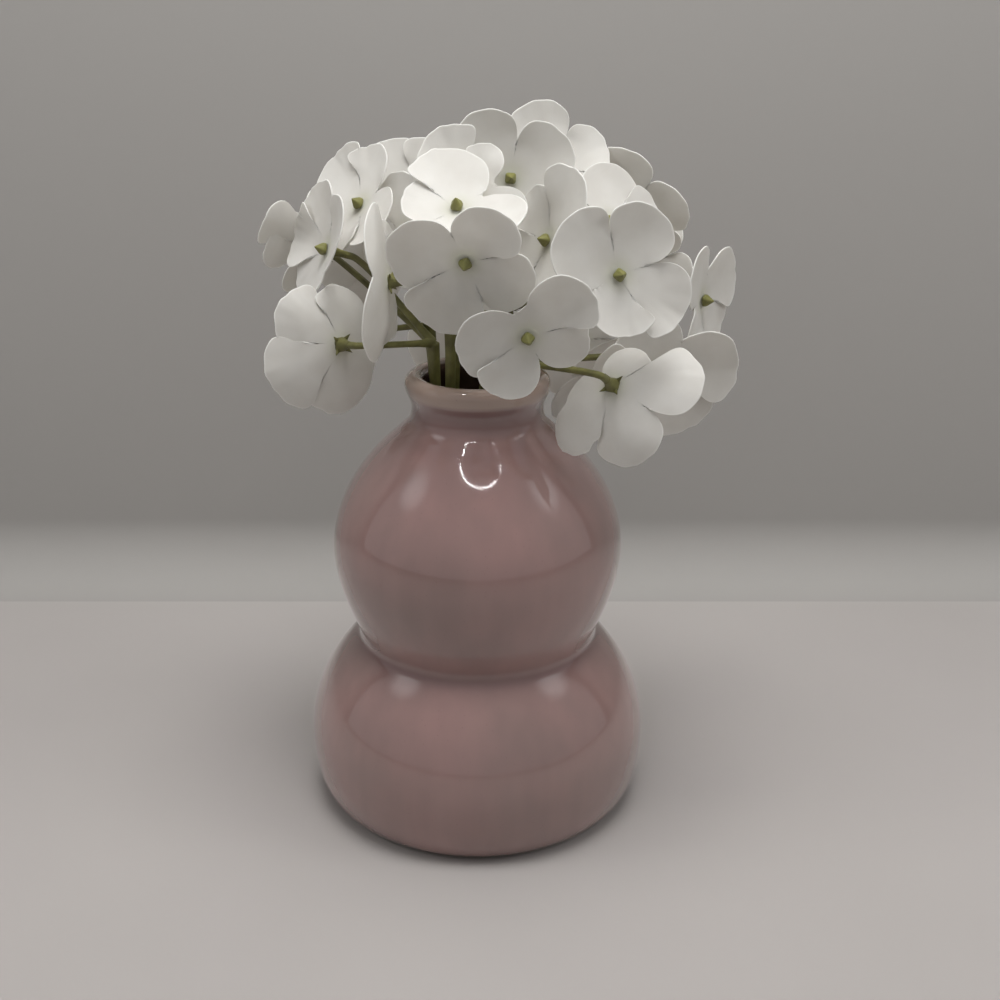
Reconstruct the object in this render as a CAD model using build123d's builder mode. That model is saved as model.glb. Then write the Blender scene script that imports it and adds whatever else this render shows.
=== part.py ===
from build123d import *
import os
from math import cos, radians, sin, tan

os.makedirs("parts", exist_ok=True)

# Outside of the ceramic shell, from the table up, in millimetres
vase_height = 178.0
foot_radius = 59.5
lower_belly_radius = 69.0
lower_belly_height = 26.0
waist_radius = 47.2
waist_height = 70.0
waist_crease_radius = 3.0
upper_belly_radius = 57.5
upper_belly_below_rim = 71.0
shoulder_radius = 31.3
shoulder_below_rim = 23.0
neck_radius = 25.6
neck_below_rim = 13.0
lip_reach = 28.1
lip_roll_radius = 3.8

# Wall and foot of the shell
wall = 4.0
floor_thickness = 5.0
floor_corner = 8.0
foot_ring_width = 5.0
foot_recess = 2.0

# Stem of the bunch, which stands on the floor of the shell
stem_radius = 3.0
stem_wire_radius = 1.0
stem_across = -8.0
stem_back = 3.0
seat_gap = 0.3
fit_clearance = 0.05
collar_radius = 9.4
collar_depth = 14.0
collar_below_rim = 52.0
collar_edge_radius = 1.5
stem_socket_depth = 5.0

# Sprays: each is plugged into the collar and forks into the flower stalks
socket_ring_radius = 6.4
socket_depth = 7.0
branch_radius = 1.9
branch_rise = 9.0
fork_radius = 2.5
stalk_radius = 1.25
stalk_run_out = 7.0
calyx_length = 6.3
calyx_radius = 2.9
calyx_tip_radius = 1.35
sepal_reach = 5.0
sepal_waist = 2.0
sepal_thickness = 0.8
peg_radius = 0.8
peg_clearance = 0.1
peg_grip = 2.0

# Blossoms: four-lobed fabric pieces with a small disc at the middle, and the bead in front
blossom_reach = 26.0
petal_thickness = 0.8
disc_radius = 3.0
disc_thickness = 1.4
bead_width = 4.2
bead_length = 5.6
bead_taper = 14
lobe_radius_share = 0.53
heart_share = 0.30

# Shares of a run that a rounded bend takes up
bend_share = 0.45

# Curves of the wall: how far the first control point is from the start, and the last from the end, across
# and up, as shares of the distance between the ends
foot_turn_shares = ((0.68, 0.06), (0.0, 0.54))
lower_shoulder_shares = ((0.0, 0.41), (0.55, 0.20))
waist_turn_shares = ((0.19, 0.22), (0.04, 0.43))
upper_shoulder_shares = ((0.0, 0.41), (0.56, 0.26))
neck_turn_shares = ((0.74, 0.45), (0.0, 0.56))
lip_turn_shares = ((0.0, 0.37), (0.0, 0.44))
inner_foot_shares = ((0.72, 0.04), (0.0, 0.54))
inner_lower_shares = ((0.0, 0.36), (0.50, 0.25))
inner_upper_shares = ((0.0, 0.38), (0.55, 0.24))
inner_shoulder_shares = (1.15, 0.6)

# Heights that follow from the sizes above
upper_belly_height = vase_height - upper_belly_below_rim
shoulder_height = vase_height - shoulder_below_rim
neck_height = vase_height - neck_below_rim
lip_height = vase_height - lip_roll_radius
lip_centre = lip_reach - lip_roll_radius
collar_top = vase_height - collar_below_rim
collar_foot = collar_top - collar_depth
socket_floor = collar_top - socket_depth
stem_foot = floor_thickness + seat_gap
stem_top = collar_foot + stem_socket_depth

# Each spray: the angle of its socket round the collar, then its fork, across, back and up from the middle
# of the mouth, in blossom reaches
spray_shares = {
    "left": (202, (-0.64, -0.26, 0.50)),
    "upper_left": (157, (-0.71, -0.02, 0.86)),
    "front": (247, (-0.38, -0.62, 1.08)),
    "top": (22, (0.33, -0.21, 1.34)),
    "right": (337, (0.85, -0.06, 0.85)),
    "low_right": (292, (0.54, -0.54, 0.29)),
    "back_left": (112, (-0.31, 0.63, 0.59)),
    "back_right": (67, (0.39, 0.72, 0.77)),
}
even_lobe_shares = ((45, 1.0), (135, 0.92), (225, 1.0), (315, 0.95))


def even_lobes(turn):
    """Four nearly even lobes, turned about the blossom's axis by so many degrees."""
    return tuple((lobe_angle + turn, lobe_share) for lobe_angle, lobe_share in even_lobe_shares)


# Each blossom: its spray, its middle in blossom reaches as above, the way it faces in degrees round from
# the front and up, its cup as a share of its reach, and the angle and length of each lobe
blossom_shares = {
    "front_middle": (
        "front", (-0.15, -1.92, 1.98), (-9, -20), 0.06,
        ((44, 0.85), (170, 1.03), (245, 1.12), (337, 0.95)),
    ),
    "front_low": (
        "front", (0.65, -1.99, 1.02), (4, -12), 0.08,
        ((43, 1.05), (189, 0.95), (244, 0.90), (346, 0.85)),
    ),
    "front_high": (
        "front", (-0.27, -1.11, 2.54), (-9, 55), 0.19,
        ((112, 0.97), (176, 0.75), (275, 0.75), (327, 1.10)),
    ),
    "top_front": (
        "top", (0.46, 0.23, 2.75), (6, 9), 0.12,
        ((33, 0.97), (126, 1.03), (216, 0.85), (292, 0.90)),
    ),
    "top_left": (
        "top", (-0.09, -0.51, 2.66), (-6, 30), 0.12,
        ((50, 0.80), (120, 0.97), (211, 0.75), (331, 0.85)),
    ),
    "top_low": (
        "top", (0.96, -0.65, 2.03), (-58, 15), 0.15,
        ((60, 1.10), (140, 0.85), (212, 0.75), (299, 0.85)),
    ),
    "top_back": (
        "top", (1.13, 1.14, 2.78), (2, 31), 0.19,
        ((26, 0.85), (112, 1.00), (222, 1.00), (313, 0.85)),
    ),
    "right_front": (
        "right", (1.85, -1.54, 1.74), (12, 12), 0.15,
        ((63, 0.97), (141, 1.05), (272, 0.82), (328, 1.03)),
    ),
    "right_high": (
        "right", (1.88, 0.11, 2.16), (33, 37), 0.12,
        ((0, 0.90), (72, 0.90), (201, 0.85), (288, 0.85)),
    ),
    "right_side": (
        "right", (3.30, 0.38, 0.98), (62, 0), 0.12,
        ((20, 1.03), (137, 1.00), (230, 0.90), (316, 0.95)),
    ),
    "low_right_front": (
        "low_right", (1.85, -1.38, 0.19), (148, -32), 0.35,
        ((128, 0.75), (159, 1.15), (250, 1.05), (313, 1.15)),
    ),
    "low_right_side": (
        "low_right", (2.69, -0.40, 0.15), (14, -10), 0.08,
        ((2, 1.10), (128, 1.00), (180, 1.15), (291, 1.10)),
    ),
    "low_right_back": (
        "low_right", (1.85, 0.92, -0.36), (37, -27), 0.12,
        ((44, 0.85), (120, 1.00), (196, 0.95), (300, 1.00)),
    ),
    "upper_left_front": (
        "upper_left", (-1.21, -1.10, 1.56), (-101, -3), 0.15,
        ((111, 1.05), (148, 0.95), (237, 0.95), (287, 1.08)),
    ),
    "upper_left_middle": (
        "upper_left", (-1.04, 0.14, 1.98), (-43, 20), 0.12,
        ((20, 0.85), (113, 0.90), (199, 0.80), (310, 0.85)),
    ),
    "upper_left_side": (
        "upper_left", (-1.69, 0.58, 2.33), (-51, 34), 0.19,
        ((100, 0.90), (149, 1.05), (274, 0.80), (341, 0.95)),
    ),
    "upper_left_back": (
        "upper_left", (-1.02, 1.19, 2.33), (-26, 32), 0.12,
        ((70, 0.95), (136, 1.03), (258, 0.85), (333, 0.85)),
    ),
    "left_low": (
        "left", (-1.94, -0.58, 0.56), (-142, -9), 0.19,
        ((43, 1.05), (103, 0.90), (272, 1.00), (338, 1.12)),
    ),
    "left_side": (
        "left", (-2.13, -0.12, 1.81), (-67, 18), 0.19,
        ((40, 0.95), (131, 1.05), (175, 1.00), (237, 0.90)),
    ),
    "left_back": (
        "left", (-2.62, 1.09, 1.70), (-118, 12), 0.15,
        ((36, 1.03), (140, 0.90), (248, 0.90), (320, 0.85)),
    ),
    "back_left_low": ("back_left", (-2.18, 1.20, 0.22), (-122, -17), 0.12, even_lobes(0)),
    "back_left_side": ("back_left", (-1.65, 2.19, 1.28), (-150, 8), 0.12, even_lobes(37)),
    "back_left_high": ("back_left", (-0.28, 1.96, 2.49), (174, 43), 0.12, even_lobes(74)),
    "back_left_inner": ("back_left", (-0.31, 2.38, 0.15), (-172, -16), 0.12, even_lobes(5)),
    "back_right_inner": ("back_right", (0.83, 2.54, 1.50), (169, 14), 0.12, even_lobes(21)),
    "back_right_side": ("back_right", (2.66, 2.04, 1.11), (137, 3), 0.12, even_lobes(58)),
    "back_right_high": ("back_right", (2.39, 1.35, 2.19), (132, 31), 0.12, even_lobes(42)),
    "back_right_low": ("back_right", (1.65, 2.13, -0.07), (150, -18), 0.12, even_lobes(79)),
}


def wall_curve(start, end, shares):
    """A curve of the wall between two points, with its control points placed by shares of the way."""
    (leave_across, leave_up), (arrive_across, arrive_up) = shares
    across = end[0] - start[0]
    up = end[1] - start[1]
    leave = (start[0] + leave_across * across, start[1] + leave_up * up)
    arrive = (end[0] - arrive_across * across, end[1] - arrive_up * up)
    return Bezier(start, leave, arrive, end)


def blossom_plane(middle_shares, facing):
    """The plane of a blossom: its middle on the face of the calyx, and its z axis the way it faces."""
    across, back, up = [share * blossom_reach for share in middle_shares]
    round_angle, up_angle = [radians(angle) for angle in facing]
    ahead = (cos(up_angle) * sin(round_angle), -cos(up_angle) * cos(round_angle), sin(up_angle))
    sideways = (cos(round_angle), sin(round_angle), 0)
    return Plane(origin=(across, back, vase_height + up), x_dir=sideways, z_dir=ahead)


def rounded_run(points):
    """Straight runs joined by arcs as large as the shorter run at each bend allows."""
    radii = []
    for before, corner, after in zip(points, points[1:], points[2:]):
        incoming = Vector(corner) - Vector(before)
        outgoing = Vector(after) - Vector(corner)
        half_turn = radians(incoming.get_angle(outgoing)) / 2
        radii.append(bend_share * min(incoming.length, outgoing.length) / tan(half_turn))
    return FilletPolyline(*points, radius=radii)


# Ceramic shell: one wall turned about the axis, open at the mouth, hollow down to the floor
with BuildPart() as vase_body:
    foot = (foot_radius, 0)
    lower_belly = (lower_belly_radius, lower_belly_height)
    waist = (waist_radius, waist_height)
    upper_belly = (upper_belly_radius, upper_belly_height)
    shoulder = (shoulder_radius, shoulder_height)
    neck = (neck_radius, neck_height)
    lip_outside = (lip_reach, lip_height)
    lip_inside = (lip_centre - lip_roll_radius, lip_height)
    inner_neck = (neck_radius - wall, neck_height)
    shoulder_in, shoulder_down = [share * wall for share in inner_shoulder_shares]
    inner_shoulder = (shoulder_radius - shoulder_in, shoulder_height - shoulder_down)
    inner_upper = (upper_belly_radius - wall, upper_belly_height)
    inner_waist = (waist_radius - wall, waist_height)
    inner_lower = (lower_belly_radius - wall, lower_belly_height)
    inner_floor = (foot_radius - floor_corner, floor_thickness)
    ring_inside = (foot_radius - foot_ring_width, 0)
    recess = (foot_radius - foot_ring_width - foot_recess, foot_recess)
    with BuildSketch(Plane.XZ) as wall_section:
        with BuildLine():
            wall_curve(foot, lower_belly, foot_turn_shares)
            wall_curve(lower_belly, waist, lower_shoulder_shares)
            wall_curve(waist, upper_belly, waist_turn_shares)
            wall_curve(upper_belly, shoulder, upper_shoulder_shares)
            wall_curve(shoulder, neck, neck_turn_shares)
            wall_curve(neck, lip_outside, lip_turn_shares)
            CenterArc((lip_centre, lip_height), lip_roll_radius, 0, 180)
            wall_curve(inner_neck, lip_inside, lip_turn_shares)
            wall_curve(inner_shoulder, inner_neck, neck_turn_shares)
            wall_curve(inner_upper, inner_shoulder, inner_upper_shares)
            wall_curve(inner_waist, inner_upper, waist_turn_shares)
            wall_curve(inner_lower, inner_waist, inner_lower_shares)
            wall_curve(inner_floor, inner_lower, inner_foot_shares)
            Polyline(inner_floor, (0, floor_thickness), (0, foot_recess), recess, ring_inside, foot)
        make_face()
        creases = [wall_section.vertices().sort_by_distance(waist)[0]]
        fillet(creases, radius=waist_crease_radius)
    revolve(axis=Axis.Z)
vase_body.part.label = "vase_body"
export_step(vase_body.part, "parts/vase_body.step")

# Main stem: a plastic tube cast round a wire, standing on the floor of the shell
stem_plane = Plane((stem_across, stem_back, stem_foot))
stem_length = stem_top - stem_foot
with BuildPart() as main_stem:
    with BuildSketch(stem_plane):
        Circle(stem_radius)
        Circle(stem_wire_radius + fit_clearance, mode=Mode.SUBTRACT)
    extrude(amount=stem_length)
main_stem.part.label = "main_stem"
export_step(main_stem.part, "parts/main_stem.step")

with BuildPart() as stem_wire:
    with BuildSketch(stem_plane):
        Circle(stem_wire_radius)
    extrude(amount=stem_length)
stem_wire.part.label = "stem_wire"
export_step(stem_wire.part, "parts/stem_wire.step")

# Collar: takes the main stem from below and one spray in each socket from above
with BuildPart() as stem_collar:
    with BuildSketch(Plane((stem_across, stem_back, collar_foot))):
        Circle(collar_radius)
    extrude(amount=collar_depth)
    fillet(stem_collar.edges(), radius=collar_edge_radius)
    with BuildSketch(Plane((stem_across, stem_back, collar_foot))):
        Circle(stem_radius + fit_clearance)
    extrude(amount=stem_socket_depth, mode=Mode.SUBTRACT)
    with BuildSketch(Plane((stem_across, stem_back, socket_floor))):
        for socket_angle, fork_shares in spray_shares.values():
            with PolarLocations(socket_ring_radius, 1, start_angle=socket_angle):
                Circle(branch_radius + fit_clearance)
    extrude(amount=socket_depth, mode=Mode.SUBTRACT)
stem_collar.part.label = "stem_collar"
export_step(stem_collar.part, "parts/stem_collar.step")

# Blossoms: each is cut from the skin of a large ball, cupped forward or back, with a hole for the peg
for blossom_name, (spray_name, middle_shares, facing, cup_share, lobe_shares) in blossom_shares.items():
    face = blossom_plane(middle_shares, facing)
    cup = abs(cup_share) * blossom_reach
    ball_radius = (blossom_reach**2 + cup**2) / (2 * cup)
    forward = 1 if cup_share > 0 else -1
    with BuildPart() as petals:
        with BuildSketch(face.offset(-blossom_reach)):
            Circle(heart_share * blossom_reach)
            for lobe_angle, lobe_share in lobe_shares:
                lobe_reach = lobe_share * blossom_reach
                lobe_radius = lobe_radius_share * lobe_reach
                with PolarLocations(lobe_reach - lobe_radius, 1, start_angle=lobe_angle):
                    Circle(lobe_radius)
        extrude(amount=2 * blossom_reach)
        with Locations(face.offset(forward * ball_radius).location):
            Sphere(ball_radius + petal_thickness / 2, rotation=(0, -90 * forward, 0), mode=Mode.INTERSECT)
            Sphere(ball_radius - petal_thickness / 2, rotation=(0, -90 * forward, 0), mode=Mode.SUBTRACT)
        with Locations(face.location):
            Cylinder(disc_radius, disc_thickness)
            Cylinder(peg_radius + peg_clearance, disc_thickness, mode=Mode.SUBTRACT)
    petals.part.label = f"blossom_{blossom_name}"
    export_step(petals.part, f"parts/blossom_{blossom_name}.step")

# Sprays and the beads on their pegs
for spray_name, (socket_angle, fork_shares) in spray_shares.items():
    faces = [blossom_plane(row[1], row[2]) for row in blossom_shares.values() if row[0] == spray_name]
    across, back, up = [share * blossom_reach for share in fork_shares]
    fork = (across, back, vase_height + up)
    socket_across = stem_across + socket_ring_radius * cos(radians(socket_angle))
    socket_back = stem_back + socket_ring_radius * sin(radians(socket_angle))
    plug = (socket_across, socket_back, socket_floor)
    bend = (socket_across, socket_back, collar_top + branch_rise)
    with BuildPart() as spray:
        with BuildLine() as branch:
            rounded_run([plug, bend, fork])
        with BuildSketch(Plane(plug)):
            Circle(branch_radius)
        sweep(path=branch.line)
        with Locations(fork):
            Sphere(fork_radius)
        for face in faces:
            back_of_disc = face.offset(-disc_thickness / 2)
            calyx_tip = face.offset(-disc_thickness / 2 - calyx_length)
            run_out = calyx_tip.offset(-stalk_run_out)
            with BuildLine() as stalk:
                rounded_run([calyx_tip.origin, run_out.origin, fork])
            with BuildSketch(Plane(calyx_tip.origin, z_dir=-calyx_tip.z_dir)):
                Circle(stalk_radius)
            sweep(path=stalk.line)
            with Locations(back_of_disc.location):
                with Locations((0, 0, -calyx_length / 2)):
                    Cone(calyx_tip_radius, calyx_radius, calyx_length)
                Cylinder(
                    peg_radius, disc_thickness + peg_grip, align=(Align.CENTER, Align.CENTER, Align.MIN)
                )
            with BuildSketch(back_of_disc) as sepals:
                with BuildLine():
                    tips = PolarLocations(sepal_reach, 4, start_angle=45)
                    clefts = PolarLocations(sepal_waist, 4, start_angle=90)
                    star = [spot.position for pair in zip(tips, clefts) for spot in pair]
                    Polyline(*star, close=True)
                make_face()
            extrude(amount=-sepal_thickness)
    spray.part.label = f"spray_{spray_name}"
    export_step(spray.part, f"parts/spray_{spray_name}.step")

    with BuildPart() as beads:
        for face in faces:
            front_of_disc = face.offset(disc_thickness / 2)
            with BuildSketch(front_of_disc):
                Rectangle(bead_width, bead_width)
            extrude(amount=bead_length, taper=bead_taper)
            with Locations(front_of_disc.location):
                Cylinder(
                    peg_radius + peg_clearance,
                    peg_grip,
                    align=(Align.CENTER, Align.CENTER, Align.MIN),
                    mode=Mode.SUBTRACT,
                )
    beads.part.label = f"beads_{spray_name}"
    export_step(beads.part, f"parts/beads_{spray_name}.step")
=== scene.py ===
"""A dusty pink gourd vase and its lift-out bunch of white cloth blossoms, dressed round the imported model."""

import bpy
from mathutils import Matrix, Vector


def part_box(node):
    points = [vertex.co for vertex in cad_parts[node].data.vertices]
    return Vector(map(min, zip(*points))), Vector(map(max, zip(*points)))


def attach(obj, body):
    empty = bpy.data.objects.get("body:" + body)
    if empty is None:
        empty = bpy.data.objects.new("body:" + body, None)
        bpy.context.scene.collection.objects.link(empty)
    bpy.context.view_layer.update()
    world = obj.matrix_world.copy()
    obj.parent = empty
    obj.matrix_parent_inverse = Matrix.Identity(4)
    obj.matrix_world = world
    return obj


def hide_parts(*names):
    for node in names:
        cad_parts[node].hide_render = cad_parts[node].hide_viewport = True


bl_info = {
    "name": "Gourd Vase With Cloth Blossoms",
    "version": (1, 0, 0),
    "blender": (4, 5, 0),
    "location": "View3D > Sidebar > Gourd Vase",
    "description": "Glazed two-bellied vase, cloth blossoms, moulded stems and a plain stage",
    "category": "Add Mesh",
}

import bpy
import numpy as np
from bpy.props import FloatProperty, FloatVectorProperty, IntProperty, PointerProperty
from mathutils import Euler

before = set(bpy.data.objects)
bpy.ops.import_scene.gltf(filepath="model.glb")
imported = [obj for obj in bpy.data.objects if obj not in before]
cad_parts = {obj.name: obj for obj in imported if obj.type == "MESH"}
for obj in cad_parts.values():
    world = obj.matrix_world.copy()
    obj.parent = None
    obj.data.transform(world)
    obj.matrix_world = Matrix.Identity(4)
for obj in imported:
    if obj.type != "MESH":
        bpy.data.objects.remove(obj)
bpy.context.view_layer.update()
RIM_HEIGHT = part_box("vase_body")[1].z

# Sprays: the angle of the socket round the collar, then the fork, across, back and up from the middle of
# the mouth, in blossom reaches
SPRAYS = {
    "left": (202, (-0.64, -0.26, 0.50)),
    "upper_left": (157, (-0.71, -0.02, 0.86)),
    "front": (247, (-0.38, -0.62, 1.08)),
    "top": (22, (0.33, -0.21, 1.34)),
    "right": (337, (0.85, -0.06, 0.85)),
    "low_right": (292, (0.54, -0.54, 0.29)),
    "back_left": (112, (-0.31, 0.63, 0.59)),
    "back_right": (67, (0.39, 0.72, 0.77)),
}
EVEN_LOBES = ((45, 1.0), (135, 0.92), (225, 1.0), (315, 0.95))


def even_lobes(turn):
    """Four nearly even lobes, turned about the blossom's axis by so many degrees."""
    return tuple(((angle + turn) % 360, share) for angle, share in EVEN_LOBES)


# Blossoms: the spray, the middle in blossom reaches as above, the way it faces in degrees round from the
# front and up, its cup as a share of its reach, and the angle and length of each lobe, with the radius of
# its round end as a share of its length where that differs
BLOSSOMS = {
    "front_middle": ("front", (-0.15, -1.92, 1.98), (-9, -20), 0.06,
        ((54, 0.90), (168, 1.03), (245, 1.10), (334, 0.95))),
    "front_low": ("front", (0.65, -1.99, 1.02), (4, -12), 0.08,
        ((45, 1.05, 0.40), (189, 0.95, 0.46), (244, 0.90, 0.46), (350, 0.83, 0.46))),
    "front_high": ("front", (-0.27, -1.11, 2.54), (-9, 55), 0.19,
        ((112, 0.97), (176, 0.75), (275, 0.72), (327, 1.06, 0.44))),
    "top_front": ("top", (0.46, 0.23, 2.75), (6, 9), 0.12,
        ((33, 0.97), (126, 1.03), (216, 0.85), (292, 0.90))),
    "top_left": ("top", (-0.09, -0.51, 2.66), (-6, 30), 0.12,
        ((67, 0.72, 0.36), (122, 0.97, 0.50), (211, 0.75), (331, 0.85, 0.40))),
    "top_low": ("top", (0.96, -0.65, 2.03), (-58, 15), 0.15,
        ((60, 1.10), (140, 0.85), (212, 0.75), (299, 0.85))),
    "top_back": ("top", (1.13, 1.14, 2.78), (2, 31), 0.19,
        ((26, 0.85), (112, 1.00), (222, 1.00), (313, 0.85))),
    "right_front": ("right", (1.85, -1.54, 1.74), (12, 12), 0.15,
        ((63, 0.97), (141, 1.05), (272, 0.82), (328, 1.03))),
    "right_high": ("right", (1.88, 0.11, 2.16), (33, 37), 0.12,
        ((0, 0.90), (72, 0.90), (201, 0.85), (288, 0.85))),
    "right_side": ("right", (3.30, 0.38, 0.98), (62, 0), 0.12,
        ((20, 1.03), (137, 1.00), (230, 0.90), (316, 0.95))),
    "low_right_front": ("low_right", (1.85, -1.38, 0.19), (148, -32), 0.35,
        ((112, 0.62, 0.46), (159, 1.15, 0.42), (243, 1.05, 0.47), (306, 1.15, 0.27))),
    "low_right_side": ("low_right", (2.69, -0.40, 0.15), (14, -10), 0.08,
        ((2, 1.10), (128, 1.00), (180, 1.15), (291, 1.10))),
    "low_right_back": ("low_right", (1.85, 0.92, -0.36), (37, -27), 0.12,
        ((44, 0.85), (120, 1.00), (196, 0.95), (300, 1.00))),
    "upper_left_front": ("upper_left", (-1.21, -1.10, 1.56), (-101, -3), 0.15,
        ((111, 1.05), (148, 0.95), (237, 0.95), (287, 1.08))),
    "upper_left_middle": ("upper_left", (-1.04, 0.14, 1.98), (-43, 20), 0.12,
        ((20, 0.85), (113, 0.90), (199, 0.80), (310, 0.85))),
    "upper_left_side": ("upper_left", (-1.69, 0.58, 2.33), (-51, 34), 0.19,
        ((100, 0.90), (149, 1.05), (274, 0.80), (341, 0.95))),
    "upper_left_back": ("upper_left", (-1.02, 1.19, 2.33), (-26, 32), 0.12,
        ((70, 0.95), (136, 1.03), (258, 0.85), (333, 0.85))),
    "left_low": ("left", (-1.94, -0.58, 0.56), (-142, -9), 0.19,
        ((43, 1.03, 0.42), (103, 0.83, 0.46), (272, 1.00), (338, 1.12))),
    "left_side": ("left", (-2.13, -0.12, 1.81), (-67, 18), 0.19,
        ((40, 0.95), (131, 1.05), (175, 1.00), (237, 0.87, 0.50))),
    "left_back": ("left", (-2.62, 1.09, 1.70), (-118, 12), 0.15,
        ((33, 0.97, 0.34), (140, 0.90), (248, 0.90), (351, 0.78, 0.32))),
    "back_left_low": ("back_left", (-2.18, 1.20, 0.22), (-122, -17), 0.12, even_lobes(0)),
    "back_left_side": ("back_left", (-1.65, 2.19, 1.28), (-150, 8), 0.12, even_lobes(37)),
    "back_left_high": ("back_left", (-0.28, 1.96, 2.49), (174, 43), 0.12, even_lobes(74)),
    "back_left_inner": ("back_left", (-0.31, 2.38, 0.15), (-172, -16), 0.12, even_lobes(5)),
    "back_right_inner": ("back_right", (0.83, 2.54, 1.50), (169, 14), 0.12, even_lobes(21)),
    "back_right_side": ("back_right", (2.66, 2.04, 1.11), (137, 3), 0.12, even_lobes(58)),
    "back_right_high": ("back_right", (2.39, 1.35, 2.19), (132, 31), 0.12, even_lobes(42)),
    "back_right_low": ("back_right", (1.65, 2.13, -0.07), (150, -18), 0.12, even_lobes(79)),
}

# The vase's line: shares of the way that place each curve's two control points, from the foot to the lip
# outside and from the floor to the lip inside
WAIST_CURVE, LIP_CURVE = ((0.19, 0.22), (0.04, 0.43)), ((0.0, 0.37), (0.0, 0.44))
NECK_CURVE = ((0.74, 0.45), (0.0, 0.56))
OUTSIDE_CURVES = (((0.68, 0.06), (0.0, 0.54)), ((0.0, 0.41), (0.55, 0.20)), WAIST_CURVE,
                  ((0.0, 0.41), (0.56, 0.26)), NECK_CURVE, LIP_CURVE)
INSIDE_CURVES = (((0.72, 0.04), (0.0, 0.54)), ((0.0, 0.36), (0.50, 0.25)), WAIST_CURVE,
                 ((0.0, 0.38), (0.55, 0.24)), NECK_CURVE, LIP_CURVE)
CURVE_POINTS, LIP_POINTS = 26, 15
OUTSIDE_STEP, INSIDE_STEP = 0.0011, 0.0022
SHOULDER_ROUND, SHOULDER_SET_IN = 0.0016, (1.15, 0.6)
FOOT_EDGE, RING_EDGE, RECESS_EDGE, MIDDLE_RADIUS = 0.0006, 0.0004, 0.0003, 0.002
# The wall's soft waves, which leave the lowest part true and then blend in
WOBBLE_SEED, WOBBLE_LENGTH, WOBBLE_WAVES = 11, 0.021, 7
BASE_KEPT_TRUE, BASE_BLEND = 0.004, 0.02
# Where the glaze pools in the crease and on the shoulder's ledge, and the bands of painted shade under the lip
# and below the neck: how deep and how wide; then where it thins on the lip, where the outline is read,
# where the painted shade inside begins and where the clay is bare
GLAZE_POOLS_AND_SHADE = {"crease": (0.75, 0.0035), "ledge": (0.20, 0.004), "lip": (0.60, 0.0042), "neck": (0.22, 0.013)}
LIP_THIN_DROP, LIP_THIN_FADE = 0.0062, 0.0018
OUTLINE_LEVELS, OUTLINE_NEAR, TOUCH = 150, 0.0016, 0.001
# Where the painted shade inside fades in, and how deep it reaches inside the lip
INSIDE_FADE, LIP_INSIDE_FADE, LIP_INSIDE_DEPTH = 0.0006, 0.0035, 0.02
BARE_HEIGHT, BARE_FADE, BARE_FROM = 0.0011, 0.0006, 0.04
UNDERSIDE_HEIGHT, UNDERSIDE_RADIUS = 0.0025, 0.0545

# Blossoms: columns across a lobe, rows from hub to cut edge in shares of the way, the half widths that limit
# a lobe's roundness and its fan, and the cut edge's bead of melted cloth
FIRST_BLOSSOM_SEED, LOBE_COLUMNS = 40, 42
LOBE_ROWS = np.concatenate((np.linspace(0, 0.88, 20), (0.915, 0.945, 0.966, 0.981, 0.992, 1.0)))
WIDEST_HALF, EVEN_HALF, FAN_HALF = np.radians((62, 45, 50))
FAN_RANGE = np.radians((3, 16))
RIM_BEAD, EDGE_THINNED = 0.00012, 0.45
NO_TRIANGLES = np.zeros((0, 3), int)

# Moulded stems: the section's shape, and the radius along a branch and a stalk in shares of its own
STEM_SQUARENESS, STEM_FILL, STEM_TWIST = 3.2, 0.93, 0.6
BRANCH_SHARES, STALK_SHARES = (1, 1, 0.98, 0.96, 1), (1.12, 1, 1, 1, 1)
BRANCH_STEP, STALK_STEP, STALK_INTO_CALYX = 0.0012, 0.0009, 0.001
SKIN_GRID = 0.0003
SEPAL_CURL, BEAD_SQUARENESS = 0.0011, 4.2
SEPAL_ROWS = np.array((0.12, 0.3, 0.5, 0.7, 0.86, 0.97))
BEAD_ROWS = np.array((0, 0.03, 0.1, 0.2, 0.32, 0.45, 0.58, 0.7, 0.8, 0.88, 0.94, 0.98, 1.0))

# Where a cloud pattern's two colours begin and end
CLOUD_ENDS = (0.32, 0.70)
FLOOR_REACH, BACKDROP_REACH, BACKDROP_HEIGHT, BACKDROP_LIFT = 2.2, 1.6, 1.4, 0.0004
ROOM_COLOUR, BULB_RADIUS = (0.98, 0.99, 1.0), 0.003
# Lamps: size, power in watts, place, the point each looks at, and whether the glaze mirrors it
LAMPS = {
    "Top Softbox": (0.8, 13.4, (0.03, -0.09, 1.04), (0, 0, 0.16), False),
    "Left Fill": (0.6, 2.6, (-0.80, -0.20, 0.62), (0, 0, 0.16), False),
    "Right Fill": (0.6, 3.0, (0.80, -0.20, 0.62), (0, 0, 0.16), False),
    "Left Softbox": (0.46, 0.34, (-0.655, -0.14, 0.74), (0, 0, 0.14), True),
    "Right Softbox": (0.46, 0.34, (0.655, -0.12, 0.70), (0, 0, 0.14), True),
}


def length(name, description, default):
    """A size in metres."""
    return FloatProperty(
        name=name, description=description, default=default, subtype="DISTANCE", unit="LENGTH")


def share(name, description, default):
    """A share between nothing and the whole, or a plain factor."""
    return FloatProperty(name=name, description=description, default=default)


def colour(name, description, default):
    """A linear colour."""
    return FloatVectorProperty(name=name, description=description, default=default, subtype="COLOR", size=3)


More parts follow.
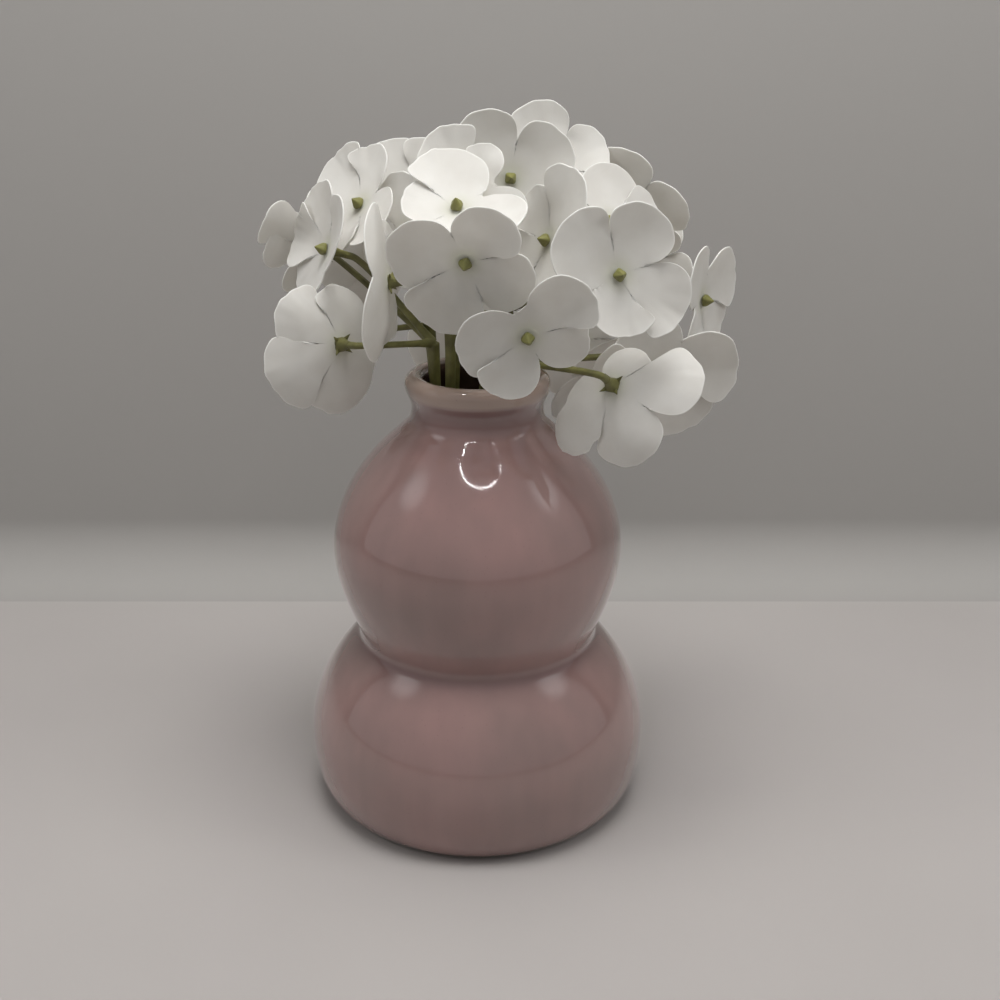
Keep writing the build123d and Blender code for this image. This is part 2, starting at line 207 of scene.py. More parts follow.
class VaseLook(bpy.types.PropertyGroup):
    foot_radius: length("Foot radius", "Outside of the foot ring", 0.0595)
    lower_belly_radius: length("Lower belly radius", "Widest point of the lower belly", 0.069)
    lower_belly_height: length("Lower belly height", "Height of that widest point", 0.026)
    waist_radius: length("Waist radius", "Radius at the crease", 0.0472)
    waist_height: length("Waist height", "Height of the crease", 0.070)
    waist_round: length("Crease rounding", "How far the crease is rounded along the wall", 0.0042)
    upper_belly_radius: length("Upper belly radius", "Widest point of the upper belly", 0.0575)
    upper_belly_drop: length("Upper belly drop", "Its height below the rim", 0.071)
    shoulder_radius: length("Shoulder radius", "Radius where the shoulder meets the neck", 0.0313)
    shoulder_drop: length("Shoulder drop", "Its height below the rim", 0.023)
    neck_radius: length("Neck radius", "Narrowest point of the neck", 0.0256)
    neck_drop: length("Neck drop", "Its height below the rim", 0.013)
    lip_reach: length("Lip reach", "Outside of the rolled lip", 0.0281)
    lip_roll: length("Lip roll", "Radius of the rolled lip", 0.0038)
    wall: length("Wall", "Thickness of the wall", 0.004)
    floor: length("Floor", "Thickness of the floor", 0.005)
    floor_corner: length("Floor corner", "Rounding between floor and wall inside", 0.008)
    ring_width: length("Foot ring width", "Width of the ring it stands on", 0.005)
    recess: length("Foot recess", "Depth of the recess inside the ring", 0.002)
    hand_wobble: length("Hand wobble", "How far the wall waves in and out", 0.00016)
    columns: IntProperty(name="Columns", description="Points round the vase", default=224)
    glaze_light: colour("Light glaze", "The glaze at its full depth", (0.276, 0.173, 0.158))
    # The deep glaze colour: pooled glaze and specks, and also the painted shade under the lip and below the
    # neck
    glaze_deep_and_shade: colour("Deep glaze", "Where the glaze has pooled", (0.165, 0.092, 0.090))
    thin_glaze: colour("Thin glaze", "Where the glaze has run off the lip", (0.365, 0.275, 0.225))
    # Painted shade: the dark of the unlit mouth and interior, given as the inside colour
    inside: colour("Inside", "The thin brown wash inside", (0.060, 0.036, 0.030))
    bare_clay: colour("Bare clay", "The foot ring", (0.52, 0.42, 0.36))


class BlossomLook(bpy.types.PropertyGroup):
    reach: length("Reach", "Length of a lobe from the middle", 0.026)
    cloth: length("Cloth", "Thickness of the cloth", 0.0004)
    hub_radius: length("Hub radius", "Radius of the pressed hub", 0.003)
    hub: length("Hub", "Thickness of the pressed hub", 0.0014)
    hole: length("Hole", "Radius of the hole for the peg", 0.0009)
    spoon: length("Spoon", "How far a lobe's sides stand forward", 0.0022)
    curl: length("Curl", "How far a lobe's tip may curl either way", 0.0016)
    dimple: length("Dimple", "How far the cloth is pressed in round the hub", 0.0006)
    overlap: length("Overlap", "How far neighbouring lobes stand apart", 0.0009)
    ruffle: length("Ruffle", "Height of the waves at the rim", 0.00028)
    # The cut edge's band carries the bead and a painted highlight
    cut_edge: length("Cut edge", "Width of the bright cut edge", 0.0006)
    scallop: share("Scallop", "Waves of the cut edge, as a share of the reach", 0.011)
    cleft: share("Cleft", "Where the cuts between lobes end, as a share of the reach", 0.41)
    lobe_width: share("Lobe width", "Radius of a lobe's round end as a share of its length", 0.53)
    petal: colour("Petal", "The cloth", (0.82, 0.805, 0.77))
    petal_shade: colour("Petal shade", "The cloth where it is thickest", (0.765, 0.745, 0.705))
    # Painted highlight: the cut edge painted brighter where it catches the light
    petal_edge_highlight: colour("Petal rim", "The cut edge", (0.89, 0.88, 0.85))
    # Painted reflection: green light bounced from the bead, painted round the hub
    petal_green_bounce: colour("Petal heart", "The greenish tinge round the hub", (0.66, 0.67, 0.50))


class StemLook(bpy.types.PropertyGroup):
    across: length("Across", "Where the main stem stands, across", -0.008)
    back: length("Back", "Where the main stem stands, back", 0.003)
    collar_drop: length("Collar drop", "Top of the collar below the rim", 0.052)
    socket_ring: length("Socket ring", "Radius of the ring of sockets", 0.0064)
    socket_depth: length("Socket depth", "Depth of a socket", 0.007)
    branch_radius: length("Branch radius", "Radius of a spray's branch", 0.0019)
    branch_rise: length("Branch rise", "How far a branch rises straight", 0.009)
    fork_radius: length("Fork radius", "Radius of the swelling at a fork", 0.0025)
    stalk_radius: length("Stalk radius", "Radius of a flower stalk", 0.00125)
    run_out: length("Run out", "Straight end of a stalk behind the calyx", 0.007)
    calyx_length: length("Calyx length", "Length of the calyx", 0.0063)
    calyx_radius: length("Calyx radius", "Radius of the calyx at the petals", 0.0029)
    calyx_tip: length("Calyx tip", "Radius of the calyx at the stalk", 0.00135)
    sepal_reach: length("Sepal reach", "Length of a sepal", 0.005)
    sepal_waist: length("Sepal waist", "Radius between two sepals", 0.002)
    sepal: length("Sepal", "Thickness of a sepal", 0.0007)
    bead_width: length("Bead width", "Width of a flower's middle", 0.0042)
    bead_length: length("Bead length", "Length of a flower's middle", 0.0040)
    green: colour("Green", "The moulded stems", (0.165, 0.158, 0.050))
    green_dark: colour("Dark green", "Their shaded mottling", (0.090, 0.086, 0.026))
    green_yellow: colour("Yellow green", "Calyxes and young tips", (0.185, 0.182, 0.052))


class StageLook(bpy.types.PropertyGroup):
    eye_back: length("Eye back", "How far the camera stands in front", 0.4788)
    eye_up: length("Eye up", "Height of the camera", 0.3124)
    tilt: FloatProperty(
        name="Tilt", description="How far the camera looks down", default=0.37245, subtype="ANGLE")
    lens: FloatProperty(name="Lens", description="Focal length in millimetres", default=46.62)
    shift: share("Shift", "Sideways shift of the frame", 0.0225)
    wall_back: length("Wall back", "How far the backdrop stands behind", 0.201)
    cove: length("Cove", "Radius of the bend from floor to backdrop", 0.035)
    ring_lamps: IntProperty(name="Ring lamps", description="Small lamps in the ring above", default=44)
    ring_power: FloatProperty(name="Ring power", description="Power of the whole ring in watts", default=1.5)
    ring_radius: length("Ring radius", "Radius of the ring of small lamps", 0.135)
    ring_across: length("Ring across", "Where the ring hangs, across", 0.020)
    ring_back: length("Ring back", "Where the ring hangs, back", -0.128)
    ring_height: length("Ring height", "Height of the ring", 0.60)
    room_light: share("Room light", "Strength of the light from all round", 0.33)
    floor: colour("Floor", "The pale floor", (0.375, 0.350, 0.335))
    backdrop: colour("Backdrop", "The pale backdrop", (0.315, 0.302, 0.286))


def place_axes(middle, facing):
    """A blossom's middle in metres, and its sideways, upward and forward directions as rows.

    Forward is the direction turned round from the front and up by the two angles, sideways is level, and
    upward is forward crossed with sideways."""
    around, rise = np.radians(facing)
    ahead = np.array((np.cos(rise) * np.sin(around), -np.cos(rise) * np.cos(around), np.sin(rise)))
    sideways = np.array((np.cos(around), np.sin(around), 0.0))
    return from_mouth(middle), np.array((sideways, np.cross(ahead, sideways), ahead))


def from_mouth(shares):
    """The place in metres of a point given in blossom reaches from the middle of the mouth."""
    return np.array(shares) * bpy.context.scene.blossom_look.reach + np.array((0, 0, RIM_HEIGHT))


def full_turn(count):
    """Evenly spaced angles once round."""
    return np.linspace(0, 2 * np.pi, count, endpoint=False)


def polar(radius, angle, height):
    """Points at a radius and an angle round an axis, and at a height along it."""
    return np.stack(np.broadcast_arrays(radius * np.cos(angle), radius * np.sin(angle), height), -1)


def smooth_step(value):
    """Three times the square less twice the cube, held between nothing and one."""
    held = np.clip(value, 0, 1)
    return held * held * (3 - 2 * held)


def bell(distance, width, power=2):
    """One at no distance, falling as the exponential of minus the distance over the width to a power."""
    return np.exp(-(np.abs(distance / width) ** power))


def soft_square(angle, power):
    """The reach of a square with soft corners: the sum of the sides' shares to a power, to minus its root."""
    return (np.abs(np.cos(angle)) ** power + np.abs(np.sin(angle)) ** power) ** (-1 / power)


def from_quarter(angle):
    """How far an angle is from the nearest quarter of a turn."""
    return np.abs((angle + np.pi / 4) % (np.pi / 2) - np.pi / 4)


def grid_quads(rows, columns, first=0):
    """The four-cornered faces of a grid of points whose columns join round."""
    row, column = np.meshgrid(np.arange(rows - 1), np.arange(columns), indexing="ij")
    here, above, after = row * columns, (row + 1) * columns, (column + 1) % columns
    return first + np.stack((here + column, here + after, above + after, above + column), -1).reshape(-1, 4)


def fan(ring, centre):
    """Three-cornered faces from a closed ring of points to one point."""
    return np.stack((ring, np.roll(ring, -1), np.full(len(ring), centre)), -1)


def closed_tube(rings):
    """Points and faces of a row of rings whose two ends are closed to their middles."""
    rows, columns = rings.shape[:2]
    points = np.concatenate((rings.reshape(-1, 3), rings[0].mean(0)[None], rings[-1].mean(0)[None]))
    count = rows * columns
    first, last = np.arange(columns), np.arange(count - columns, count)
    return points, grid_quads(rows, columns), np.concatenate((fan(first[::-1], count), fan(last, count + 1)))


def signed_volume(points, quads, triangles):
    """A sixth of the sum of each face's corner products, which is below zero where faces point inwards."""
    corners = np.concatenate((triangles, quads[:, :3], quads[:, (0, 2, 3)]))
    a, b, c = (points[corners[:, i]] for i in range(3))
    return np.einsum("ij,ij->i", a, np.cross(b, c)).sum() / 6


def write_mesh(name, shells, maps=None, values=None):
    """A smooth mesh from closed shells of points, quads and triangles, each turned to face outwards."""
    points, loops, sizes, first = [], [], [], 0
    for spots, quads, triangles in shells:
        if signed_volume(spots, quads, triangles) < 0:
            quads, triangles = quads[:, ::-1], triangles[:, ::-1]
        points.append(spots)
        loops += [(quads + first).ravel(), (triangles + first).ravel()]
        sizes += [np.full(len(quads), 4), np.full(len(triangles), 3)]
        first += len(spots)
    points, loops, sizes = np.concatenate(points), np.concatenate(loops), np.concatenate(sizes)
    mesh = bpy.data.meshes.new(name)
    mesh.vertices.add(len(points))
    mesh.vertices.foreach_set("co", points.astype(np.float32).ravel())
    mesh.loops.add(len(loops))
    mesh.loops.foreach_set("vertex_index", loops.astype(np.int32))
    mesh.polygons.add(len(sizes))
    mesh.polygons.foreach_set("loop_start", (np.cumsum(sizes) - sizes).astype(np.int32))
    mesh.polygons.foreach_set("use_smooth", np.ones(len(sizes), bool))
    if maps is not None:
        layer = mesh.uv_layers.new(name="Cloth")
        layer.data.foreach_set("uv", maps[loops].astype(np.float32).ravel())
    for label, amounts in (values or {}).items():
        mesh.attributes.new(label, "FLOAT", "POINT").data.foreach_set("value", amounts.astype(np.float32))
    mesh.update(calc_edges=True)
    mesh.validate()
    return mesh


def add_object(name, data):
    """A new object in the scene, at the origin."""
    holder = bpy.data.objects.new(name, data)
    bpy.context.scene.collection.objects.link(holder)
    return holder


def add_piece(mesh, material, body, nodes):
    """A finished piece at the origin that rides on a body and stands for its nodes."""
    mesh.materials.append(material)
    piece = add_object(mesh.name, mesh)
    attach(piece, body)
    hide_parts(*nodes)


def bezier(start, end, shares):
    """A cubic curve, its control points placed by shares of the way from each end."""
    start, end = np.array(start), np.array(end)
    leave = start + np.array(shares[0]) * (end - start)
    arrive = end - np.array(shares[1]) * (end - start)
    t = np.linspace(0, 1, CURVE_POINTS)[:, None]
    return (1 - t) ** 3 * start + 3 * t * (1 - t) ** 2 * leave + 3 * t * t * (1 - t) * arrive + t**3 * end


def chained(knots, curves):
    """One line of cubic curves from knot to knot."""
    parts = [bezier(*ends) for ends in zip(knots, knots[1:], curves)]
    return np.concatenate([parts[0], *(part[1:] for part in parts[1:])])


def even_steps(line, step):
    """The same line with its points the same distance apart."""
    run = np.concatenate(([0], np.cumsum(np.linalg.norm(np.diff(line, axis=0), axis=1))))
    spots = np.linspace(0, run[-1], max(int(run[-1] / step), 4))
    return np.stack([np.interp(spots, run, line[:, i]) for i in range(line.shape[1])], -1)


def rounded_near(line, spot, width):
    """The line with the corner at spot rounded: each point near it is a running mean over that width."""
    step = np.linalg.norm(np.diff(line, axis=0), axis=1).mean()
    half = int(round(width / step))
    kernel = np.hanning(2 * half + 3)[1:-1]
    padded = np.pad(line, ((half, half), (0, 0)), mode="edge")
    mean = np.stack([np.convolve(padded[:, i], kernel / kernel.sum(), mode="valid") for i in range(2)], -1)
    near = bell(np.linalg.norm(line - np.array(spot), axis=1), 1.5 * width)[:, None]
    return line + near * (mean - line)


def level_line(start, height, count):
    """Points from a radius in to the middle at one height, the first left out."""
    return np.stack((np.linspace(start, MIDDLE_RADIUS, count)[1:], np.full(count - 1, height)), -1)


def vase_profile(look):
    """Radius and height along the wall: from the middle of the underside out over the foot ring, up the
    outside, over the lip, down the inside and in to the middle of the floor.

    Outside and inside are cubic curves between the widest and narrowest points, and the lip is half a turn
    of a circle. The crease and the shoulder are then rounded."""
    neck_up, lip_up = RIM_HEIGHT - look.neck_drop, RIM_HEIGHT - look.lip_roll
    lip_middle = look.lip_reach - look.lip_roll
    lower = (look.lower_belly_radius, look.lower_belly_height)
    waist = (look.waist_radius, look.waist_height)
    upper = (look.upper_belly_radius, RIM_HEIGHT - look.upper_belly_drop)
    shoulder = (look.shoulder_radius, RIM_HEIGHT - look.shoulder_drop)
    neck = (look.neck_radius, neck_up)
    outside = chained([(look.foot_radius, 0), lower, waist, upper, shoulder, neck, (look.lip_reach, lip_up)],
                      OUTSIDE_CURVES)
    outside = rounded_near(even_steps(outside, OUTSIDE_STEP), waist, look.waist_round)
    outside = rounded_near(outside, shoulder, SHOULDER_ROUND)
    outside[0] = (look.foot_radius, FOOT_EDGE)
    turn = np.linspace(0, np.pi, LIP_POINTS)[1:-1]
    roll = np.stack((lip_middle + look.lip_roll * np.cos(turn), lip_up + look.lip_roll * np.sin(turn)), -1)
    in_lower, in_waist, in_upper, in_neck = ((radius - look.wall, height)
                                             for radius, height in (lower, waist, upper, neck))
    in_shoulder = np.array(shoulder) - np.array(SHOULDER_SET_IN) * look.wall
    in_floor = (look.foot_radius - look.floor_corner, look.floor)
    in_lip = (lip_middle - look.lip_roll, lip_up)
    inside = chained([in_floor, in_lower, in_waist, in_upper, in_shoulder, in_neck, in_lip], INSIDE_CURVES)
    inside = even_steps(inside[::-1], INSIDE_STEP)
    floor = level_line(in_floor[0], look.floor, 14)
    ring_in = look.foot_radius - look.ring_width
    foot = np.array([
        (look.foot_radius - FOOT_EDGE, 0), (ring_in + FOOT_EDGE, 0), (ring_in, RING_EDGE),
        (ring_in - look.recess, look.recess - RECESS_EDGE), (ring_in - look.recess - FOOT_EDGE, look.recess),
    ])
    under = level_line(foot[-1, 0], look.recess, 10)
    return np.concatenate((under[::-1], foot[::-1], outside, roll, inside, floor))


def wobble(points, seed, scale):
    """Soft waves over a surface: a few long sines in different directions, added up."""
    chance = np.random.default_rng(seed)
    waves = chance.normal(size=(WOBBLE_WAVES, 3)) / scale
    starts = chance.uniform(0, 2 * np.pi, WOBBLE_WAVES)
    return np.sin(points @ waves.T + starts).mean(-1)


def join(tree, source, target):
    """Joins an input to a socket, or sets it to a plain number, vector or colour."""
    if isinstance(source, bpy.types.NodeSocket):
        tree.links.new(source, target)
    elif isinstance(source, (int, float)):
        target.default_value = source
    else:
        target.default_value = (*source, 1) if target.type == "RGBA" else tuple(source)


def set_inputs(tree, node, **inputs):
    """Joins or sets a node's inputs by name, an underscore standing for a space."""
    for label, source in inputs.items():
        join(tree, source, node.inputs[label.replace("_", " ")])


def add_node(tree, kind, outlet, **inputs):
    """One outlet of a new shader node, its inputs joined or set."""
    node = tree.nodes.new(f"ShaderNode{kind}")
    set_inputs(tree, node, **inputs)
    return node.outputs[outlet]


def new_material(name):
    """A new node material, its tree, its Principled shader and its object coordinates."""
    material = bpy.data.materials.new(name)
    material.use_nodes = True
    tree = material.node_tree
    return material, tree, tree.nodes["Principled BSDF"], add_node(tree, "TexCoord", "Object")


def read_value(tree, label):
    """A value that the mesh holds at each point."""
    reader = tree.nodes.new("ShaderNodeAttribute")
    reader.attribute_name = label
    return reader.outputs["Fac"]


def scaled(tree, value, low, high, start=0, end=1):
    """A value between start and end, spread between low and high."""
    return add_node(tree, "MapRange", "Result", Value=value, From_Min=start, From_Max=end,
                    To_Min=low, To_Max=high)


def noise_colour(tree, source, scale, detail, low, high):
    """Two colours mixed by a soft cloud pattern."""
    ramp = tree.nodes.new("ShaderNodeValToRGB")
    for element, place, shade in zip(ramp.color_ramp.elements, CLOUD_ENDS, (low, high)):
        element.position, element.color = place, (*shade, 1)
    cloud = add_node(tree, "TexNoise", "Fac", Vector=source, Scale=scale, Detail=detail)
    join(tree, cloud, ramp.inputs["Fac"])
    return ramp.outputs["Color"]


def mix_colours(tree, amount, first, second, blend="MIX"):
    """The first colour turning into the second by an amount; each is a socket or a plain colour."""
    mixer = tree.nodes.new("ShaderNodeMix")
    mixer.data_type, mixer.blend_type = "RGBA", blend
    for place, source in ((0, amount), (6, first), (7, second)):
        join(tree, source, mixer.inputs[place])
    return mixer.outputs[2]


def mix_values(tree, amount, first, second):
    """The first number turning into the second by an amount."""
    mixer = tree.nodes.new("ShaderNodeMix")
    for place, source in ((0, amount), (2, first), (3, second)):
        join(tree, source, mixer.inputs[place])
    return mixer.outputs[0]


def mix_shaders(tree, amount, first, second):
    """Joins two shaders, mixed by an amount, to the material's surface."""
    mixer = tree.nodes.new("ShaderNodeMixShader")
    for place, source in enumerate((amount, first, second)):
        join(tree, source, mixer.inputs[place])
    join(tree, mixer.outputs["Shader"], tree.nodes["Material Output"].inputs["Surface"])


def surface_group():
    """Fine grain for every finish: a mottling mask and a normal, from coordinates, scales and a height."""
    group = bpy.data.node_groups.new("Fine Grain", "ShaderNodeTree")
    face = group.interface
    face.new_socket("Vector", in_out="INPUT", socket_type="NodeSocketVector")
    for label, default in (("Mottle Scale", 60.0), ("Grain Scale", 900.0), ("Grain Height", 0.00005)):
        face.new_socket(label, in_out="INPUT", socket_type="NodeSocketFloat").default_value = default
    face.new_socket("Mottle", in_out="OUTPUT", socket_type="NodeSocketFloat")
    face.new_socket("Normal", in_out="OUTPUT", socket_type="NodeSocketVector")
    given, made = group.nodes.new("NodeGroupInput").outputs, group.nodes.new("NodeGroupOutput")
    mottle = add_node(group, "TexNoise", "Fac", Vector=given["Vector"], Scale=given["Mottle Scale"], Detail=4)
    grain = add_node(group, "TexNoise", "Fac", Vector=given["Vector"], Scale=given["Grain Scale"], Detail=3)
    normal = add_node(group, "Bump", "Normal", Distance=given["Grain Height"], Height=grain)
    set_inputs(group, made, Mottle=mottle, Normal=normal)
    return group


def add_grain(tree, spots, mottle_scale, grain_scale, grain_height):
    """The mottling mask and the normal of the fine grain group, with a material's own sizes."""
    grain = tree.nodes.new("ShaderNodeGroup")
    grain.node_tree = bpy.data.node_groups.get("Fine Grain") or surface_group()
    set_inputs(tree, grain, Vector=spots, Mottle_Scale=mottle_scale, Grain_Scale=grain_scale,
               Grain_Height=grain_height)
    return grain.outputs["Mottle"], grain.outputs["Normal"]


def glaze_material():
    """Dusty pink gloss glaze, deeper where it pools, with painted shade in bands under the lip and below the
    neck and painted shade inside, paler on edges, with bare clay on the foot.
    """
    look = bpy.context.scene.vase_look
    material, tree, shader, spots = new_material("Pink Glaze")
    glaze = np.array(look.glaze_light)
    cloud = noise_colour(tree, spots, 19, 3, glaze * (1.10, 1.04, 1.05), glaze * (0.84, 0.88, 0.88))
    drawn_down = add_node(tree, "Mapping", "Vector", Scale=(1, 1, 0.12), Vector=spots)
    runs = noise_colour(tree, drawn_down, 95, 2, (1.0, 1.0, 1.0), (0.86, 0.87, 0.87))
    streaked = mix_colours(tree, 0.55, cloud, runs, "MULTIPLY")
    # Deeper glaze pooled in the crease and on the ledge, and painted shade in the bands under the lip and
    # below the neck
    pooled = mix_colours(tree, read_value(tree, "pool_and_shade"), streaked, look.glaze_deep_and_shade)
    thin = mix_colours(tree, scaled(tree, read_value(tree, "thin"), 0, 0.85), pooled, look.thin_glaze)
    speck = add_node(tree, "TexVoronoi", "Distance", Scale=420, Vector=spots)
    freckled = mix_colours(tree, scaled(tree, speck, 0.30, 0, 0.05, 0.13), thin, look.glaze_deep_and_shade)
    # The inside painted dark: painted shade for the unlit mouth
    shaded_inside = mix_colours(tree, read_value(tree, "inside"), freckled, look.inside)
    bare = read_value(tree, "bare")
    mottle, normal = add_grain(tree, spots, 35, 260, 0.00004)
    set_inputs(tree, shader, Base_Color=mix_colours(tree, bare, shaded_inside, look.bare_clay), Normal=normal,
               Roughness=mix_values(tree, bare, scaled(tree, mottle, 0.06, 0.13), 0.85),
               Coat_Weight=scaled(tree, bare, 1, 0), Coat_Roughness=0.02, IOR=1.5)
    return material


def petal_material():
    """Thin white cloth: a painted highlight along the cut edges, painted green bounce light round the hub,
    faint veins along the lobes, a fine weave, light through it.
    """
    look = bpy.context.scene.blossom_look
    material, tree, shader, spots = new_material("Petal Cloth")
    base = noise_colour(tree, spots, 90, 3, look.petal, look.petal_shade)
    # Painted reflection of the green bead round the hub
    bounce_tinted = mix_colours(tree, scaled(tree, read_value(tree, "green_bounce"), 0, 0.55), base, look.petal_green_bounce)
    # Painted highlight along the cut edge
    edge_highlighted = mix_colours(tree, read_value(tree, "rim"), bounce_tinted, look.petal_edge_highlight)
    mottle, normal = add_grain(tree, spots, 140, 2600, 0.00003)
    along = tree.nodes.new("ShaderNodeUVMap")
    along.uv_map = "Cloth"
    lengthwise = add_node(tree, "Mapping", "Vector", Scale=(26, 1.6, 1), Vector=along.outputs["UV"])
    vein = add_node(tree, "TexNoise", "Fac", Vector=lengthwise, Scale=1, Detail=3)
    veined = add_node(tree, "Bump", "Normal", Distance=0.0002, Strength=0.12, Height=vein, Normal=normal)
    set_inputs(tree, shader, Base_Color=edge_highlighted, Roughness=scaled(tree, mottle, 0.50, 0.72), Normal=veined,
               Sheen_Weight=0.08, Specular_IOR_Level=0.35)
    through = add_node(tree, "BsdfTranslucent", "BSDF", Color=edge_highlighted)
    mix_shaders(tree, 0.42, shader.outputs["BSDF"], through)
    return material


def green_material(name, low, high, gloss_low, gloss_high):
    """Moulded plastic in two greens, mottled, with a satin skin."""
    material, tree, shader, spots = new_material(name)
    mottle, normal = add_grain(tree, spots, 300, 1500, 0.00006)
    set_inputs(tree, shader, Base_Color=noise_colour(tree, spots, 210, 4, low, high), Normal=normal,
               Roughness=scaled(tree, mottle, gloss_low, gloss_high))
    return material


def wire_material():
    """Drawn steel: fine lengthwise streaks in its brightness and its roughness."""
    material, tree, shader, spots = new_material("Drawn Wire")
    drawn = add_node(tree, "Mapping", "Vector", Scale=(1, 1, 0.05), Vector=spots)
    mottle, _ = add_grain(tree, drawn, 900, 3000, 0.00002)
    streaks = noise_colour(tree, drawn, 2400, 2, (0.42, 0.42, 0.42), (0.62, 0.61, 0.60))
    set_inputs(tree, shader, Base_Color=streaks, Roughness=scaled(tree, mottle, 0.25, 0.50), Metallic=1)
    return material


class VASE_OT_shell(bpy.types.Operator):
    """Turns the glazed shell: the wall's radius and height carried once round the axis, with soft waves."""

    bl_idname = "vase.shell"
    bl_label = "Glazed Shell"

    def execute(self, context):
        look = context.scene.vase_look
        profile = vase_profile(look)
        around = full_turn(look.columns)
        radius, height = profile[:, :1], profile[:, 1:]
        rings = polar(radius, around, height)
        wave = look.hand_wobble * np.abs(wobble(rings, WOBBLE_SEED, WOBBLE_LENGTH)) * (radius > 0.01)
        free = smooth_step((height - BASE_KEPT_TRUE) / BASE_BLEND)
        rings = rings - (wave * free)[..., None] * polar(1, around, 0)
        points, quads, triangles = closed_tube(rings)
        masks = glaze_masks(look, profile, points[:, 2], np.hypot(points[:, 0], points[:, 1]))
        mesh = write_mesh("vase_shell", [(points, quads, triangles)], values=masks)
        add_piece(mesh, glaze_material(), "vase", ["vase_body"])
        return {"FINISHED"}


def glaze_masks(look, profile, level, reach):
    """Where the glaze pools and where painted shade darkens it, where it is thin, where the clay is bare and
    where the painted shade inside begins, from each point's height and radius.

    The glaze pools in the crease and on the ledge of the shoulder; painted shade lies in a band under the lip
    and, thinly, all round below the neck. The inside, painted dark as the shade of the unlit mouth, is what
    lies deeper than half the wall behind the widest outline."""
    neck_up, shoulder_up = RIM_HEIGHT - look.neck_drop, RIM_HEIGHT - look.shoulder_drop

    def darkening_at(place, distance, power=2):
        depth, width = GLAZE_POOLS_AND_SHADE[place]
        return depth * bell(distance, width, power)

    pool_and_shade = darkening_at("crease", np.hypot(level - look.waist_height, reach - look.waist_radius))
    pool_and_shade = pool_and_shade + darkening_at("ledge", np.hypot(level - shoulder_up, reach - look.shoulder_radius))
    # Painted shade: a band under the lip
    pool_and_shade = pool_and_shade + darkening_at("lip", neck_up + 0.0020 - level, 4) * (reach > look.neck_radius - TOUCH)
    # Painted shade: a thin band all round below the neck
    pool_and_shade = pool_and_shade + darkening_at("neck", shoulder_up - level) * (reach > look.neck_radius) * (1 - pool_and_shade)
    on_lip = 1 - smooth_step((RIM_HEIGHT - level - LIP_THIN_DROP) / LIP_THIN_FADE)
    thin = on_lip * (reach > look.lip_reach - 1.9 * look.lip_roll)
    outer = profile[(profile[:, 0] > look.neck_radius - TOUCH) | (profile[:, 1] < look.floor)]
    levels = np.linspace(0.0, RIM_HEIGHT, OUTLINE_LEVELS)
    widest = np.where(np.abs(outer[:, 1] - levels[:, None]) < OUTLINE_NEAR, outer[:, 0], 0).max(1)
    # The inside and the lip's inner face take the painted shade of the unlit mouth
    within = smooth_step((np.interp(level, levels, widest) - 0.5 * look.wall - reach) / INSIDE_FADE)
    inside = within * (level > look.recess + TOUCH) * (level < RIM_HEIGHT - look.lip_roll)
    lip_inside = smooth_step((look.lip_reach - look.lip_roll - reach) / LIP_INSIDE_FADE)
    inside = np.maximum(inside, lip_inside * (level > RIM_HEIGHT - LIP_INSIDE_DEPTH))
    bare = smooth_step((BARE_HEIGHT - level) / BARE_FADE) * (reach > BARE_FROM)
    bare = bare + (level < UNDERSIDE_HEIGHT) * (reach < UNDERSIDE_RADIUS)
    return {"pool_and_shade": pool_and_shade, "thin": thin, "bare": np.clip(bare, 0, 1), "inside": inside}


def lobe_columns(lobes, look, chance):
    """For each column round a blossom: its lobe's number, place across the lobe, base angle, fan, outline
    radius, cleft radius and lobe length.

    A lobe's outline is a circle seen from the blossom's middle, drawn in to the cleft at both sides, and
    waved a little where the cloth was cut."""
    angles = np.radians([lobe[0] for lobe in lobes])
    reaches = np.array([lobe[1] for lobe in lobes]) * look.reach
    widths = np.array([lobe[2] if len(lobe) > 2 else look.lobe_width for lobe in lobes])
    gaps = (np.roll(angles, -1) - angles) % (2 * np.pi)
    clefts = look.cleft * np.minimum(reaches, np.roll(reaches, -1)) * chance.uniform(0.85, 1.25, len(lobes))
    place = np.sin(np.linspace(-np.pi / 2, np.pi / 2, LOBE_COLUMNS, endpoint=False))
    across = smooth_step((place + 1) / 2)
    parts = []
    for number, (angle, reach, width) in enumerate(zip(angles, reaches, widths)):
        half = np.where(place > 0, gaps[number], gaps[number - 1]) / 2
        cleft = clefts[number - 1] + (clefts[number] - clefts[number - 1]) * across
        off = np.abs(place) * np.minimum(half, WIDEST_HALF)
        round_end = width * reach
        stand = reach - round_end
        outline = stand * np.cos(off) + np.sqrt(np.maximum(round_end**2 - (stand * np.sin(off)) ** 2, 0))
        waves = np.sin(place * 6.3 + chance.uniform(0, 6)) + 0.5 * np.sin(place * 17 + chance.uniform(0, 6))
        outline = outline * (1 + look.scallop * chance.uniform(0.4, 1.5) * waves)
        squareness = 9 * (EVEN_HALF / half) ** 1.5
        outline = cleft + (outline - cleft) * np.sqrt(1 - np.abs(place) ** squareness)
        fan_out = np.sign(place) * np.abs(place) ** 3 * np.clip(FAN_HALF - half, *FAN_RANGE)
        values = (number, place, angle + place * half, fan_out, outline, cleft, reach)
        parts.append(np.stack(np.broadcast_arrays(*values)))
    return np.concatenate(parts, -1)


